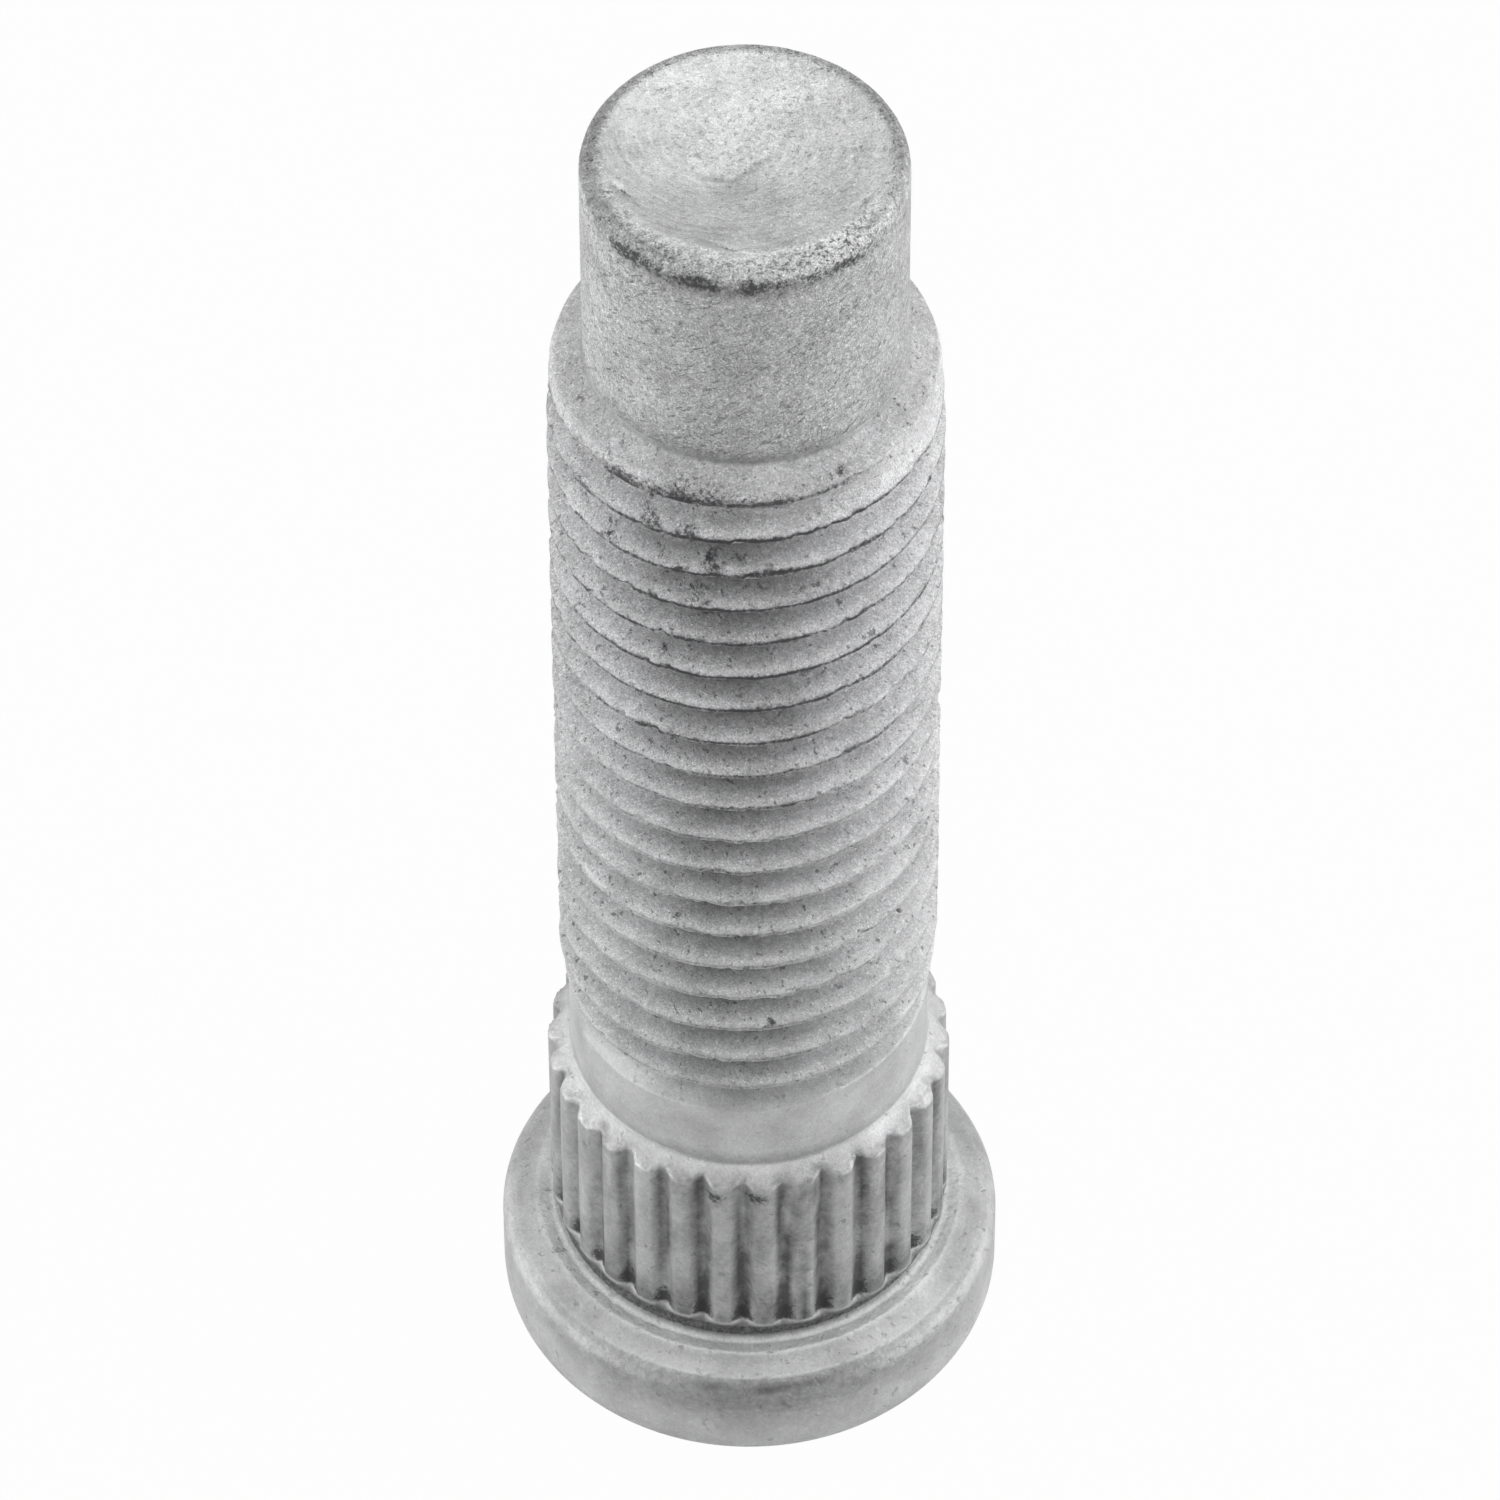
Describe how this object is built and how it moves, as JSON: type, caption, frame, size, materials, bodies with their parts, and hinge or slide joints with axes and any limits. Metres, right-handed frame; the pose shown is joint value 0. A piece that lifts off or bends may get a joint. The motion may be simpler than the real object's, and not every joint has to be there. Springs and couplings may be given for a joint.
{
  "type": "wheel stud",
  "caption": "Press-in wheel stud with a round head, serrated neck, plain shank, right-hand metric thread and a plain pilot nose with a dished end.",
  "frame": {"origin": "centre of the head's outer face, on which the stud stands", "axes": "+Z along the stud's axis, from the head to the pilot nose"},
  "size_m": [0.016, 0.016, 0.0523],
  "materials": {
    "coated_steel": "matte zinc-flake coating, fine grain"
  },
  "bodies": {
    "root": {"wheel_stud": "coated_steel"}
  },
  "joints": []
}
